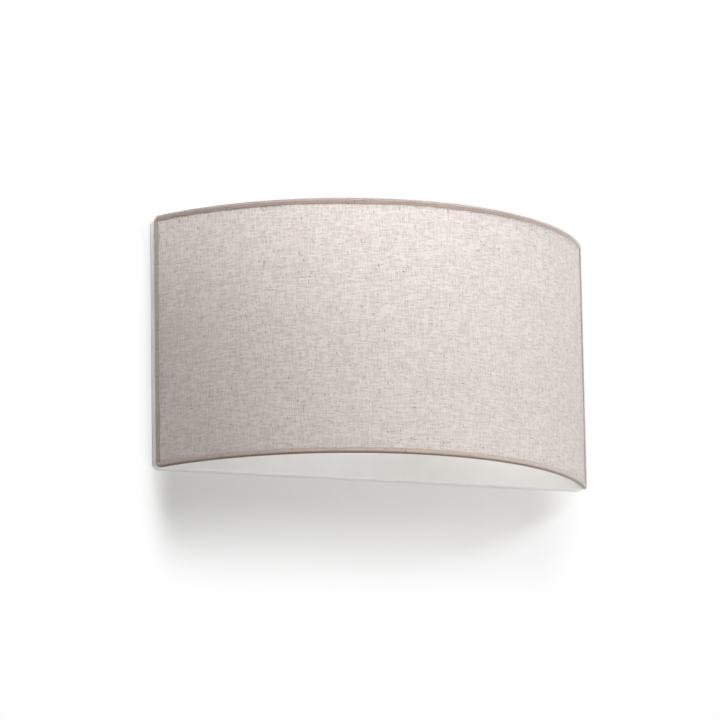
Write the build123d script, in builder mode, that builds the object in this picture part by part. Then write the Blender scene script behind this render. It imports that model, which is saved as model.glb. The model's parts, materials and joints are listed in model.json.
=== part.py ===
from build123d import *
import os
from math import asin, atan, cos, degrees, hypot, sin

os.makedirs("parts", exist_ok=True)

# Half-round fabric wall light, in millimetres. The origin is the middle of the back of the
# wall plate. +X is to the right, +Y goes into the wall and +Z is up. "Out" is the distance
# from the wall, so a point at out = 10 has Y = -10.

# ---------------------------------------------------------------- driving dimensions
# Shade
shade_width = 350.0          # across the rolled ends
shade_height = 195.0
drum_radius = 200.0          # outside of the rolled edge: a slice of a 400 mm drum
corner_radius = 5.0          # rounded corners of the shade and of the wall plate
hem_width = 4.3
hem_cloth = 0.6
wire_radius = 0.85
wire_clearance = 0.15
textile_thickness = 0.8
lining_thickness = 0.6
layer_gap = 0.1
seat_gap = 0.3               # shade to wall plate
lug_thickness = 1.5
lug_width = 14.0
lug_hole_radius = 1.8
lug_reach = 21.4             # from the end wire to the thumb screw
slit_gap = 0.4               # round the lug, in the hem
weld_gap = 0.05

# Captive thumb screws and their press nuts
thumb_head_radius = 6.0
thumb_head_height = 7.0
thumb_chamfer = 0.7
thumb_neck_radius = 1.55
thumb_thread_radius = 1.95
thumb_thread_length = 6.0
thread_chamfer = 0.5
thumb_play = 0.3
knurl_count = 24
knurl_radius = 0.45
running_clearance = 0.06
nut_spigot_radius = 3.2
nut_flange_radius = 4.6
nut_flange_height = 3.0

# Wall plate: a folded sheet pan, open towards the wall
plate_depth = 8.0
plate_sheet = 1.0
plate_bend = 1.6
dish_pitch = 27.0            # from the thumb screw to the screw dish
dish_floor_radius = 12.5
dish_slope = 3.5
slot_width = 5.0
slot_length = 10.0
fit_gap = 0.05               # between pieces that are screwed, pressed or glued together

# Cable grommet
grommet_pitch = 45.0         # from the terminal block to the grommet
grommet_z = 50.0
grommet_bore_radius = 4.5
grommet_neck_radius = 8.0
grommet_lip = 2.5
grommet_lip_height = 1.6
grommet_lip_taper = 20.0     # degrees

# Lampholder bracket and its fasteners
bracket_gap = 3.0            # from the screw dish to the bracket's foot
bracket_sheet = 1.5
bracket_width = 24.0
bracket_foot = 22.0
bracket_head = 13.0          # arm beyond the lamp axis
bracket_bend = 2.5
bracket_head_round = 11.0
bracket_foot_round = 5.0
bracket_screw_spacing = 13.0
screw_radius = 1.95
screw_head_radius = 3.6
screw_head_height = 2.4
screw_tail = 6.0             # shank behind the front face of the plate
screw_slot = 1.0
hex_nut_width = 7.0
hex_nut_height = 3.2
nipple_radius = 5.0
nipple_bore = 3.6
nipple_outside = 12.0        # beyond the inner face of the arm, away from the lamp
nipple_inside = 8.5
nipple_nut_width = 14.0
nipple_nut_height = 4.0

# Lampholder, measured along its axis from the inner face of the arm
holder_wall = 1.8
holder_neck_radius = 9.0
holder_neck_length = 7.0
holder_radius = 17.5
cap_shoulder = 16.0
cap_length = 25.0
insert_start = 17.0
insert_length = 10.0
insert_pocket_radius = 1.7
insert_pocket_offset = 7.0
insert_pocket_depth = 4.0
skirt_end = 55.0
skirt_grip = 5.0             # depth of the skirt's spigot inside the cap
liner_wall = 0.5
liner_start = 28.0
liner_end = 52.0
contact_height = 1.8
contact_strip = 0.5
contact_width = 5.0
holder_screw_radius = 1.5

# Lamp
lamp_cap_radius = 13.2
lamp_cap_start = 33.0        # along the holder axis
lamp_cap_length = 23.0
lamp_cap_wall = 0.5
lamp_insulator_height = 2.6
lamp_insulator_radius = 7.7
lamp_button_radius = 4.8
lamp_button_height = 0.9
lamp_radius = 30.0
lamp_housing_length = 34.0
lamp_length = 108.0          # over the contact button and the globe
lamp_wall = 1.2
globe_slope = 0.12           # of the globe where it leaves the housing

# Terminal block, earth screw and leads
block_pitch = 44.0           # from the bracket to the terminal block
block_z = 50.0
block_length = 22.0
block_height = 14.0
block_round = 1.5
block_chamfer = 0.8
pole_pitch = 8.0
pole_count = 3
pole_edge = 5.0              # from the last pole to the end of the block
pole_bore_radius = 1.6
pole_out = 14.0
clamp_offset = 5.5
clamp_radius = 1.8
clamp_length = 4.5
block_screw_radius = 1.4
block_screw_head_radius = 2.6
block_screw_head_height = 1.6
earth_pitch = 4.0            # from the bracket to the earth screw
eyelet_radius = 4.0
eyelet_thickness = 0.8
eyelet_reach = 12.0          # from the screw to the far end of the crimped barrel
barrel_length = 6.0
barrel_wall = 0.5
lead_radius = 1.1
lead_entry = 5.0             # length of each lead inside the terminal block
lead_turn = 5.0              # from the end of the nipple to the nearer lead's turn
lead_spread = 6.0            # between the live and neutral leads where they turn down
lead_sag = 4.0
lead_rise = 14.0             # straight ends of the run from the block to the nipple
lead_slack = 10.0
lead_splay = 3.0             # from the insert to where the two leads part
earth_run = 3.0              # straight lead before the crimped barrel
earth_slope = 6.0
wide_bend = 8.0
nipple_bend = 6.0
splay_bend = 3.0
pocket_bend = 1.5
earth_bend = 4.0

# ---------------------------------------------------------------- places worked out
plate_front = plate_depth
fold_core = max(wire_radius, textile_thickness, layer_gap + lining_thickness) + wire_clearance
fold_radius = fold_core + hem_cloth
bend_radius = corner_radius - fold_radius
arc_radius = drum_radius - fold_radius
upright_x = shade_width / 2 - fold_radius
upright_out = plate_front + seat_gap + fold_radius
half_angle = asin(upright_x / hypot(arc_radius, bend_radius)) - atan(bend_radius / arc_radius)
drum_y = -upright_out + arc_radius * cos(half_angle) - bend_radius * sin(half_angle)
half_height = shade_height / 2
shade_front = drum_radius - drum_y
drum_axis = Axis((0, drum_y, 0), (0, 0, 1))
panel_inset = corner_radius - bend_radius + wire_radius + layer_gap
panel_angle = half_angle + atan((corner_radius - panel_inset) / arc_radius)

thumb_x = upright_x - lug_reach
lug_back = plate_front + seat_gap
lug_front = lug_back + lug_thickness
nut_bore_radius = thumb_thread_radius + running_clearance

dish_x = thumb_x - dish_pitch
dish_rim = dish_floor_radius + dish_slope

# The lamp lies midway between the plate and the inside of the shade.
holder_out = (plate_front + shade_front - 2 * fold_radius) / 2
bracket_x = dish_rim + bracket_gap + bracket_foot - dish_x
foot_out = plate_front + fit_gap
foot_x = bracket_x - bracket_foot / 2
holder_x = bracket_x + bracket_sheet
holder_plane = Plane((holder_x, -holder_out, 0), x_dir=(1, 0, 0), z_dir=(0, 0, 1))
holder_axis = Axis((holder_x, -holder_out, 0), (1, 0, 0))
liner_radius = lamp_cap_radius + running_clearance
skirt_bore = liner_radius + liner_wall + fit_gap
insert_end = insert_start + insert_length
holder_inner = holder_radius - holder_wall

block_x = bracket_x + block_pitch
earth_x = bracket_x + earth_pitch
grommet_x = block_x + grommet_pitch
block_width = (pole_count - 1) * pole_pitch + 2 * pole_edge
block_front = plate_front + fit_gap + block_height
pole_zs = [block_z + (n - (pole_count - 1) / 2) * pole_pitch for n in range(pole_count)]
block_screw_zs = [(low + high) / 2 for low, high in zip(pole_zs, pole_zs[1:])]


def out_plane(out):
    """A plane parallel to the wall, facing the room."""
    return Plane.XZ.offset(out)


def radial(side):
    """Outward normal of the drum at the end of its arc; side is -1 left, +1 right."""
    return Vector(side * sin(half_angle), -cos(half_angle), 0)


def arc_end(side, level):
    """Where the top (level 1) or bottom (level -1) wire ends and its corner bend starts."""
    height = level * (half_height - fold_radius)
    return Vector(0, drum_y, height) + radial(side) * arc_radius


def end_plane(side, level):
    """Section plane at the end of an arc, with local X outward and local Y to the free edge."""
    return Plane(arc_end(side, level), x_dir=radial(side),
                 z_dir=radial(side).cross(Vector(0, 0, level)))


def corner_axis(side, level):
    """Axis that turns the top or bottom edge into the end of the shade."""
    centre = arc_end(side, level) - Vector(0, 0, level * bend_radius)
    return Axis(centre, radial(side) * (-side * level))


def upright_plane(side):
    """Section plane of an end hem, at its lower end, with local Y towards the wall."""
    foot = Vector(side * upright_x, -upright_out, corner_radius - half_height)
    return Plane(foot, x_dir=radial(side) * side, z_dir=(0, 0, 1))


def hem_profile():
    """Cloth rolled round the wire: a U whose legs grip the edge of the shade."""
    leg = hem_width - fold_radius
    Circle(fold_radius)
    with Locations((0, -leg / 2)):
        Rectangle(2 * fold_radius, leg)
    Circle(fold_core, mode=Mode.SUBTRACT)
    with Locations((0, -leg / 2)):
        Rectangle(2 * fold_core, leg, mode=Mode.SUBTRACT)


def save(piece, name):
    piece.part.label = name
    export_step(piece.part, f"parts/{name}.step")


# ---------------------------------------------------------------- wall plate
with BuildPart() as wall_plate:
    with BuildSketch(out_plane(0)):
        RectangleRounded(shade_width, shade_height, corner_radius)
    extrude(amount=plate_depth)
    fillet(wall_plate.faces().sort_by(Axis.Y)[0].edges(), plate_bend)
    offset(amount=-plate_sheet, openings=wall_plate.faces().sort_by(Axis.Y)[-1])
    # screw dishes, pressed back to the wall
    for dish_side in (-1, 1):
        dish_plane = Plane((dish_side * dish_x, 0, 0), x_dir=(1, 0, 0), z_dir=(0, 0, 1))
        with BuildSketch(out_plane(0)):
            with Locations((dish_side * dish_x, 0)):
                Circle(dish_rim)
        extrude(amount=plate_front, mode=Mode.SUBTRACT)
        with BuildSketch(dish_plane):
            with BuildLine():
                Polyline((0, 0), (dish_floor_radius, 0), (dish_rim, plate_sheet - plate_front),
                         (dish_rim, -plate_front), (dish_rim - plate_sheet, -plate_front),
                         (dish_floor_radius - plate_sheet, -plate_sheet), (0, -plate_sheet),
                         close=True)
            make_face()
        revolve(axis=Axis(dish_plane.origin, (0, 1, 0)))
        with BuildSketch(out_plane(0)):
            with Locations((dish_side * dish_x, 0)):
                SlotOverall(slot_length, slot_width)
        extrude(amount=plate_sheet, mode=Mode.SUBTRACT)
    # holes for the grommet, the press nuts and the screws
    with BuildSketch(out_plane(0)):
        with Locations((grommet_x, grommet_z)):
            Circle(grommet_neck_radius + fit_gap)
        with Locations((-thumb_x, 0), (thumb_x, 0)):
            Circle(nut_spigot_radius + fit_gap)
        with Locations((foot_x, 0)), GridLocations(0, bracket_screw_spacing, 1, 2):
            Circle(screw_radius + fit_gap)
        with Locations((earth_x, pole_zs[-1])):
            Circle(screw_radius + fit_gap)
        with Locations(*[(block_x, z) for z in block_screw_zs]):
            Circle(block_screw_radius + fit_gap)
    extrude(amount=plate_front, mode=Mode.SUBTRACT)
save(wall_plate, "wall_plate")

with BuildPart() as cable_grommet:
    with BuildSketch(out_plane(plate_front - plate_sheet - grommet_lip_height)):
        with Locations((grommet_x, grommet_z)):
            Circle(grommet_neck_radius + grommet_lip)
    extrude(amount=grommet_lip_height - fit_gap)
    with BuildSketch(out_plane(plate_front + fit_gap)):
        with Locations((grommet_x, grommet_z)):
            Circle(grommet_neck_radius + grommet_lip)
    extrude(amount=grommet_lip_height - fit_gap, taper=grommet_lip_taper)
    with BuildSketch(out_plane(plate_front - plate_sheet - fit_gap)):
        with Locations((grommet_x, grommet_z)):
            Circle(grommet_neck_radius)
    extrude(amount=plate_sheet + 2 * fit_gap)
    with BuildSketch(out_plane(plate_front - plate_sheet - grommet_lip_height)):
        with Locations((grommet_x, grommet_z)):
            Circle(grommet_bore_radius)
    extrude(amount=2 * grommet_lip_height + plate_sheet, mode=Mode.SUBTRACT)
save(cable_grommet, "cable_grommet")

with BuildPart() as press_nuts:
    nut_back = plate_front - plate_sheet - fit_gap - nut_flange_height
    with BuildSketch(out_plane(nut_back)):
        with Locations((-thumb_x, 0), (thumb_x, 0)):
            Circle(nut_flange_radius)
    extrude(amount=nut_flange_height)
    with BuildSketch(out_plane(nut_back)):
        with Locations((-thumb_x, 0), (thumb_x, 0)):
            Circle(nut_spigot_radius)
    extrude(amount=plate_front - fit_gap - nut_back)
    with BuildSketch(out_plane(nut_back)):
        with Locations((-thumb_x, 0), (thumb_x, 0)):
            Circle(nut_bore_radius)
    extrude(amount=plate_front - nut_back, mode=Mode.SUBTRACT)
save(press_nuts, "press_nuts")

# ---------------------------------------------------------------- lampholder bracket
with BuildPart() as holder_bracket:
    half_sheet = bracket_sheet / 2
    with BuildSketch(Plane.XY.offset(-bracket_width / 2)):
        with BuildLine():
            FilletPolyline((bracket_x - bracket_foot, -foot_out - half_sheet),
                           (bracket_x + half_sheet, -foot_out - half_sheet),
                           (bracket_x + half_sheet, -holder_out - bracket_head),
                           radius=bracket_bend)
        trace(line_width=bracket_sheet)
    extrude(amount=bracket_width)
    fillet(holder_bracket.edges().filter_by(Axis.X).group_by(Axis.Y)[0], bracket_head_round)
    fillet(holder_bracket.edges().filter_by(Axis.Y).group_by(Axis.X)[0], bracket_foot_round)
    with BuildSketch(Plane((bracket_x, -holder_out, 0), x_dir=(0, 1, 0), z_dir=(1, 0, 0))):
        Circle(nipple_radius + fit_gap)
    extrude(amount=bracket_sheet, mode=Mode.SUBTRACT)
    with BuildSketch(out_plane(foot_out)):
        with Locations((foot_x, 0)), GridLocations(0, bracket_screw_spacing, 1, 2):
            Circle(screw_radius + fit_gap)
    extrude(amount=bracket_sheet, mode=Mode.SUBTRACT)
save(holder_bracket, "holder_bracket")

with BuildPart() as bracket_screws:
    bracket_seat = foot_out + bracket_sheet + fit_gap
    with BuildSketch(out_plane(bracket_seat)):
        with Locations((foot_x, 0)), GridLocations(0, bracket_screw_spacing, 1, 2):
            Circle(screw_head_radius)
    extrude(amount=screw_head_height)
    fillet(bracket_screws.faces().group_by(Axis.Y)[0].edges(), screw_head_height / 2)
    with BuildSketch(out_plane(plate_front - screw_tail)):
        with Locations((foot_x, 0)), GridLocations(0, bracket_screw_spacing, 1, 2):
            Circle(screw_radius)
    extrude(amount=bracket_seat - plate_front + screw_tail)
    with BuildSketch(out_plane(bracket_seat + screw_head_height / 2)):
        with Locations((foot_x, 0)), GridLocations(0, bracket_screw_spacing, 1, 2):
            Rectangle(2 * screw_head_radius, screw_slot)
    extrude(amount=screw_head_height, mode=Mode.SUBTRACT)
save(bracket_screws, "bracket_screws")

with BuildPart() as bracket_nuts:
    with BuildSketch(out_plane(plate_front - plate_sheet - fit_gap - hex_nut_height)):
        with Locations((foot_x, 0)), GridLocations(0, bracket_screw_spacing, 1, 2):
            RegularPolygon(hex_nut_width / 2, 6, major_radius=False)
            Circle(screw_radius + fit_gap, mode=Mode.SUBTRACT)
    extrude(amount=hex_nut_height)
save(bracket_nuts, "bracket_nuts")

with BuildPart() as threaded_nipple:
    with BuildSketch(holder_plane):
        with BuildLine():
            Polyline((-nipple_outside, nipple_bore), (nipple_inside, nipple_bore),
                     (nipple_inside, nipple_radius), (-nipple_outside, nipple_radius),
                     close=True)
        make_face()
    revolve(axis=holder_axis)
save(threaded_nipple, "threaded_nipple")

with BuildPart() as nipple_nut:
    with BuildSketch(Plane((bracket_x - fit_gap, -holder_out, 0), x_dir=(0, 1, 0),
                           z_dir=(-1, 0, 0))):
        RegularPolygon(nipple_nut_width / 2, 6, major_radius=False)
        Circle(nipple_radius + fit_gap, mode=Mode.SUBTRACT)
    extrude(amount=nipple_nut_height)
save(nipple_nut, "nipple_nut")

# ---------------------------------------------------------------- lampholder
with BuildPart() as holder_cap:
    with BuildSketch(holder_plane):
        with BuildLine():
            Polyline((fit_gap, nipple_radius + fit_gap), (fit_gap, holder_neck_radius),
                     (holder_neck_length, holder_neck_radius), (cap_shoulder, holder_radius),
                     (cap_length, holder_radius), (cap_length, holder_inner),
                     (cap_shoulder + holder_wall / 2, holder_inner),
                     (holder_neck_length + holder_wall, holder_neck_radius - holder_wall / 2),
                     (holder_neck_length + holder_wall, nipple_radius + fit_gap), close=True)
        make_face()
    revolve(axis=holder_axis)
    fillet(holder_cap.edges().filter_by(GeomType.CIRCLE).group_by(SortBy.RADIUS)[-1]
           .sort_by(Axis.X)[0], holder_wall)
save(holder_cap, "holder_cap")

with BuildPart() as holder_insert:
    with BuildSketch(holder_plane):
        with BuildLine():
            Polyline((insert_start, 0), (insert_start, holder_inner - fit_gap),
                     (cap_length - skirt_grip, holder_inner - fit_gap),
                     (cap_length - skirt_grip, skirt_bore - fit_gap),
                     (insert_end, skirt_bore - fit_gap), (insert_end, 0), close=True)
        make_face()
    revolve(axis=holder_axis)
    with BuildSketch(Plane((holder_x + insert_start, -holder_out, 0), x_dir=(0, 1, 0),
                           z_dir=(1, 0, 0))):
        with Locations((0, insert_pocket_offset), (0, -insert_pocket_offset)):
            Circle(insert_pocket_radius)
    extrude(amount=insert_pocket_depth, mode=Mode.SUBTRACT)
    with BuildSketch(Plane((holder_x + insert_start, -holder_out, 0), x_dir=(0, 1, 0),
                           z_dir=(1, 0, 0))):
        with Locations((insert_pocket_offset, insert_pocket_offset),
                       (insert_pocket_offset, -insert_pocket_offset)):
            Circle(holder_screw_radius + fit_gap)
    extrude(amount=insert_pocket_depth, mode=Mode.SUBTRACT)
save(holder_insert, "holder_insert")

with BuildPart() as holder_terminal_screws:
    with BuildSketch(Plane((holder_x + insert_start - fit_gap, -holder_out, 0),
                           x_dir=(0, 1, 0), z_dir=(1, 0, 0))):
        with Locations((insert_pocket_offset, insert_pocket_offset),
                       (insert_pocket_offset, -insert_pocket_offset)):
            Circle(holder_screw_radius)
    extrude(amount=insert_pocket_depth)
save(holder_terminal_screws, "holder_terminal_screws")

with BuildPart() as holder_skirt:
    with BuildSketch(holder_plane):
        with BuildLine():
            Polyline((cap_length - skirt_grip + fit_gap, skirt_bore),
                     (cap_length - skirt_grip + fit_gap, holder_inner - fit_gap),
                     (cap_length + fit_gap, holder_inner - fit_gap),
                     (cap_length + fit_gap, holder_radius), (skirt_end, holder_radius),
                     (skirt_end, skirt_bore), close=True)
        make_face()
    revolve(axis=holder_axis)
    fillet(holder_skirt.edges().filter_by(GeomType.CIRCLE).group_by(Axis.X)[-1],
           holder_wall / 2)
save(holder_skirt, "holder_skirt")

with BuildPart() as holder_thread_shell:
    with BuildSketch(holder_plane):
        with BuildLine():
            Polyline((liner_start, liner_radius), (liner_start, liner_radius + liner_wall),
                     (liner_end, liner_radius + liner_wall), (liner_end, liner_radius),
                     close=True)
        make_face()
    revolve(axis=holder_axis)
save(holder_thread_shell, "holder_thread_shell")

with BuildPart() as holder_centre_contact:
    strip_x = holder_x + insert_end + fit_gap + contact_strip / 2
    with BuildSketch(Plane.XY.offset(-contact_width / 2)):
        with BuildLine():
            FilletPolyline((strip_x, -holder_out - 2 * contact_width),
                           (strip_x, -holder_out - contact_width),
                           (strip_x + contact_height, -holder_out - contact_width / 4),
                           (strip_x + contact_height, -holder_out + contact_width / 2),
                           radius=contact_height / 2)
        trace(line_width=contact_strip)
    extrude(amount=contact_width)
save(holder_centre_contact, "holder_centre_contact")

# ---------------------------------------------------------------- lamp
lamp_cap_end = lamp_cap_start + lamp_cap_length
housing_end = lamp_cap_end + lamp_housing_length
globe_end = lamp_cap_start - lamp_insulator_height - lamp_button_height + lamp_length
crown = globe_end - lamp_radius

with BuildPart() as lamp_cap:
    with BuildSketch(holder_plane):
        with BuildLine():
            Polyline((lamp_cap_start, lamp_insulator_radius),
                     (lamp_cap_start + lamp_insulator_height, lamp_cap_radius),
                     (lamp_cap_end, lamp_cap_radius),
                     (lamp_cap_end, lamp_cap_radius - lamp_cap_wall),
                     (lamp_cap_start + lamp_insulator_height + lamp_cap_wall,
                      lamp_cap_radius - lamp_cap_wall),
                     (lamp_cap_start + lamp_cap_wall, lamp_insulator_radius - lamp_cap_wall),
                     (lamp_cap_start, lamp_insulator_radius - lamp_cap_wall), close=True)
        make_face()
    revolve(axis=holder_axis)
save(lamp_cap, "lamp_cap")

with BuildPart() as lamp_insulator:
    with BuildSketch(holder_plane):
        with BuildLine():
            Polyline((lamp_cap_start - fit_gap, 0),
                     (lamp_cap_start - fit_gap, lamp_insulator_radius),
                     (lamp_cap_start - lamp_insulator_height, lamp_button_radius),
                     (lamp_cap_start - lamp_insulator_height, 0), close=True)
        make_face()
    revolve(axis=holder_axis)
save(lamp_insulator, "lamp_insulator")

with BuildPart() as lamp_button:
    button_start = lamp_cap_start - lamp_insulator_height - fit_gap
    with BuildSketch(holder_plane):
        with BuildLine():
            Polyline((button_start, 0), (button_start, lamp_button_radius - fit_gap),
                     (button_start - lamp_button_height / 2, lamp_button_radius - fit_gap),
                     (button_start - lamp_button_height, lamp_button_radius / 2),
                     (button_start - lamp_button_height, 0), close=True)
        make_face()
    revolve(axis=holder_axis)
save(lamp_button, "lamp_button")

with BuildPart() as lamp_housing:
    housing_mouth = lamp_radius - lamp_wall
    with BuildSketch(holder_plane):
        with BuildLine():
            housing_neck = lamp_cap_radius + lamp_wall
            Line((lamp_cap_end + fit_gap, 0), (lamp_cap_end + fit_gap, housing_neck))
            Bezier((lamp_cap_end + fit_gap, housing_neck),
                   (lamp_cap_end + lamp_housing_length / 2, housing_neck),
                   (housing_end - lamp_housing_length / 3, housing_mouth),
                   (housing_end, housing_mouth))
            Line((housing_end, housing_mouth), (housing_end, 0))
            Line((housing_end, 0), (lamp_cap_end + fit_gap, 0))
        make_face()
    revolve(axis=holder_axis)
save(lamp_housing, "lamp_housing")

with BuildPart() as lamp_globe:
    with BuildSketch(holder_plane):
        with BuildLine():
            globe_start = housing_end + fit_gap
            Line((globe_start, housing_mouth - lamp_wall), (globe_start, housing_mouth))
            Spline((globe_start, housing_mouth), (crown, lamp_radius), tangents=((1, globe_slope), (1, 0)))
            CenterArc((crown, 0), lamp_radius, 0, 90)
            Line((globe_end, 0), (globe_end - lamp_wall, 0))
            CenterArc((crown, 0), lamp_radius - lamp_wall, 0, 90)
            Spline((globe_start, housing_mouth - lamp_wall), (crown, lamp_radius - lamp_wall),
                   tangents=((1, globe_slope), (1, 0)))
        make_face()
    revolve(axis=holder_axis)
save(lamp_globe, "lamp_globe")

# ---------------------------------------------------------------- terminal block and earth
block_places = [(block_x + end * clamp_offset, z) for z in pole_zs for end in (-1, 1)]

with BuildPart() as terminal_block:
    with BuildSketch(out_plane(plate_front + fit_gap)):
        with Locations((block_x, block_z)):
            Rectangle(block_length, block_width)
    extrude(amount=block_height)
    fillet(terminal_block.edges().filter_by(Axis.Y), block_round)
    chamfer(terminal_block.faces().sort_by(Axis.Y)[0].edges(), block_chamfer)
    with BuildSketch(Plane((block_x - block_length / 2, -pole_out, 0), x_dir=(0, 1, 0),
                           z_dir=(1, 0, 0))):
        with Locations(*[(0, z) for z in pole_zs]):
            Circle(pole_bore_radius)
    extrude(amount=block_length, mode=Mode.SUBTRACT)
    with BuildSketch(out_plane(pole_out)):
        with Locations(*block_places):
            Circle(clamp_radius + fit_gap)
    extrude(amount=block_front - pole_out, mode=Mode.SUBTRACT)
    with BuildSketch(out_plane(plate_front)):
        with Locations(*[(block_x, z) for z in block_screw_zs]):
            Circle(block_screw_radius + fit_gap)
    extrude(amount=block_front - plate_front, mode=Mode.SUBTRACT)
    with BuildSketch(out_plane(block_front - 2 * block_screw_head_height)):
        with Locations(*[(block_x, z) for z in block_screw_zs]):
            Circle(block_screw_head_radius + fit_gap)
    extrude(amount=2 * block_screw_head_height, mode=Mode.SUBTRACT)
save(terminal_block, "terminal_block")

with BuildPart() as terminal_clamp_screws:
    with BuildSketch(out_plane(pole_out + lead_radius + fit_gap)):
        with Locations(*block_places):
            Circle(clamp_radius)
    extrude(amount=clamp_length)
    with BuildSketch(out_plane(pole_out + lead_radius + fit_gap + clamp_length)):
        with Locations(*block_places):
            Rectangle(2 * clamp_radius, screw_slot)
    extrude(amount=-clamp_length / 4, mode=Mode.SUBTRACT)
save(terminal_clamp_screws, "terminal_clamp_screws")

with BuildPart() as terminal_fixing_screws:
    head_back = block_front - 2 * block_screw_head_height + fit_gap
    with BuildSketch(out_plane(plate_front - screw_tail / 2)):
        with Locations(*[(block_x, z) for z in block_screw_zs]):
            Circle(block_screw_radius)
    extrude(amount=head_back - plate_front + screw_tail / 2)
    with BuildSketch(out_plane(head_back)):
        with Locations(*[(block_x, z) for z in block_screw_zs]):
            Circle(block_screw_head_radius)
    extrude(amount=block_screw_head_height)
    with BuildSketch(out_plane(head_back + block_screw_head_height)):
        with Locations(*[(block_x, z) for z in block_screw_zs]):
            Rectangle(2 * block_screw_head_radius, screw_slot / 2)
    extrude(amount=-block_screw_head_height / 2, mode=Mode.SUBTRACT)
save(terminal_fixing_screws, "terminal_fixing_screws")

earth_z = pole_zs[-1]
eyelet_out = plate_front + fit_gap

barrel_radius = lead_radius + fit_gap + barrel_wall
barrel_plane = Plane((earth_x + eyelet_reach, -eyelet_out - barrel_radius, earth_z),
                     x_dir=(0, 1, 0), z_dir=(-1, 0, 0))

with BuildPart() as earth_eyelet:
    with BuildSketch(out_plane(eyelet_out)):
        with Locations((earth_x, earth_z)):
            Circle(eyelet_radius)
        with Locations((earth_x + eyelet_reach / 2, earth_z)):
            Rectangle(eyelet_reach, 2 * lead_radius)
        with Locations((earth_x, earth_z)):
            Circle(screw_radius + fit_gap, mode=Mode.SUBTRACT)
    extrude(amount=eyelet_thickness)
    with BuildSketch(barrel_plane):
        Circle(barrel_radius)
    extrude(amount=barrel_length)
    with BuildSketch(barrel_plane):
        Circle(lead_radius + fit_gap)
    extrude(amount=barrel_length, mode=Mode.SUBTRACT)
save(earth_eyelet, "earth_eyelet")

with BuildPart() as earth_screw:
    earth_seat = eyelet_out + eyelet_thickness + fit_gap
    with BuildSketch(out_plane(earth_seat)):
        with Locations((earth_x, earth_z)):
            Circle(screw_head_radius)
    extrude(amount=screw_head_height)
    fillet(earth_screw.faces().group_by(Axis.Y)[0].edges(), screw_head_height / 2)
    with BuildSketch(out_plane(plate_front - screw_tail)):
        with Locations((earth_x, earth_z)):
            Circle(screw_radius)
    extrude(amount=earth_seat - plate_front + screw_tail)
    with BuildSketch(out_plane(earth_seat + screw_head_height / 2)):
        with Locations((earth_x, earth_z)):
            Rectangle(2 * screw_head_radius, screw_slot)
    extrude(amount=screw_head_height, mode=Mode.SUBTRACT)
save(earth_screw, "earth_screw")

# ---------------------------------------------------------------- leads
lead_start_x = block_x - block_length / 2 + lead_entry
pocket_x = holder_x + insert_start + insert_pocket_depth / 2
barrel_y = -eyelet_out - barrel_radius
barrel_x = earth_x + eyelet_reach

# One lead turns down before the other, and they lie one above the other in the nipple.
lead_routes = {}
for name, pole, side in (("live_lead", 0, -1), ("neutral_lead", 1, 1)):
    turn_x = holder_x - nipple_outside - lead_turn - pole * lead_spread
    lead_z = side * (lead_radius + layer_gap)
    pocket_z = side * insert_pocket_offset
    lead_routes[name] = [(lead_start_x, -pole_out, pole_zs[pole]),
                         (turn_x, -pole_out - lead_sag, pole_zs[pole]),
                         (turn_x, -pole_out - lead_rise, lead_z + lead_slack),
                         (turn_x, -holder_out + lead_rise, lead_z),
                         (turn_x, -holder_out, lead_z),
                         (holder_x + nipple_inside, -holder_out, lead_z),
                         (holder_x + insert_start - lead_splay, -holder_out, pocket_z),
                         (pocket_x, -holder_out, pocket_z)]
lead_routes["earth_lead"] = [(lead_start_x, -pole_out, earth_z),
                             (barrel_x + earth_run + earth_slope, -pole_out, earth_z),
                             (barrel_x + earth_run, barrel_y, earth_z),
                             (barrel_x - barrel_length, barrel_y, earth_z)]
supply_bends = 3 * [wide_bend] + [nipple_bend, splay_bend, pocket_bend]
lead_bends = {"live_lead": supply_bends, "neutral_lead": supply_bends,
              "earth_lead": 2 * [earth_bend]}

for name, route in lead_routes.items():
    with BuildPart() as lead:
        with BuildLine() as path:
            FilletPolyline(*route, radius=lead_bends[name])
        with BuildSketch(Plane(route[0], z_dir=Vector(*route[1]) - Vector(*route[0]))):
            Circle(lead_radius)
        sweep(path=path.wires()[0])
    save(lead, name)

# ---------------------------------------------------------------- shade frame
for level, name in ((1, "top_wire"), (-1, "bottom_wire")):
    with BuildPart() as edge_wire:
        with BuildSketch(end_plane(-1, level)):
            Circle(wire_radius)
        revolve(axis=drum_axis, revolution_arc=2 * degrees(half_angle))
        for side in (-1, 1):
            with BuildSketch(end_plane(side, level)):
                Circle(wire_radius)
            revolve(axis=corner_axis(side, level), revolution_arc=90)
    save(edge_wire, name)

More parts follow.
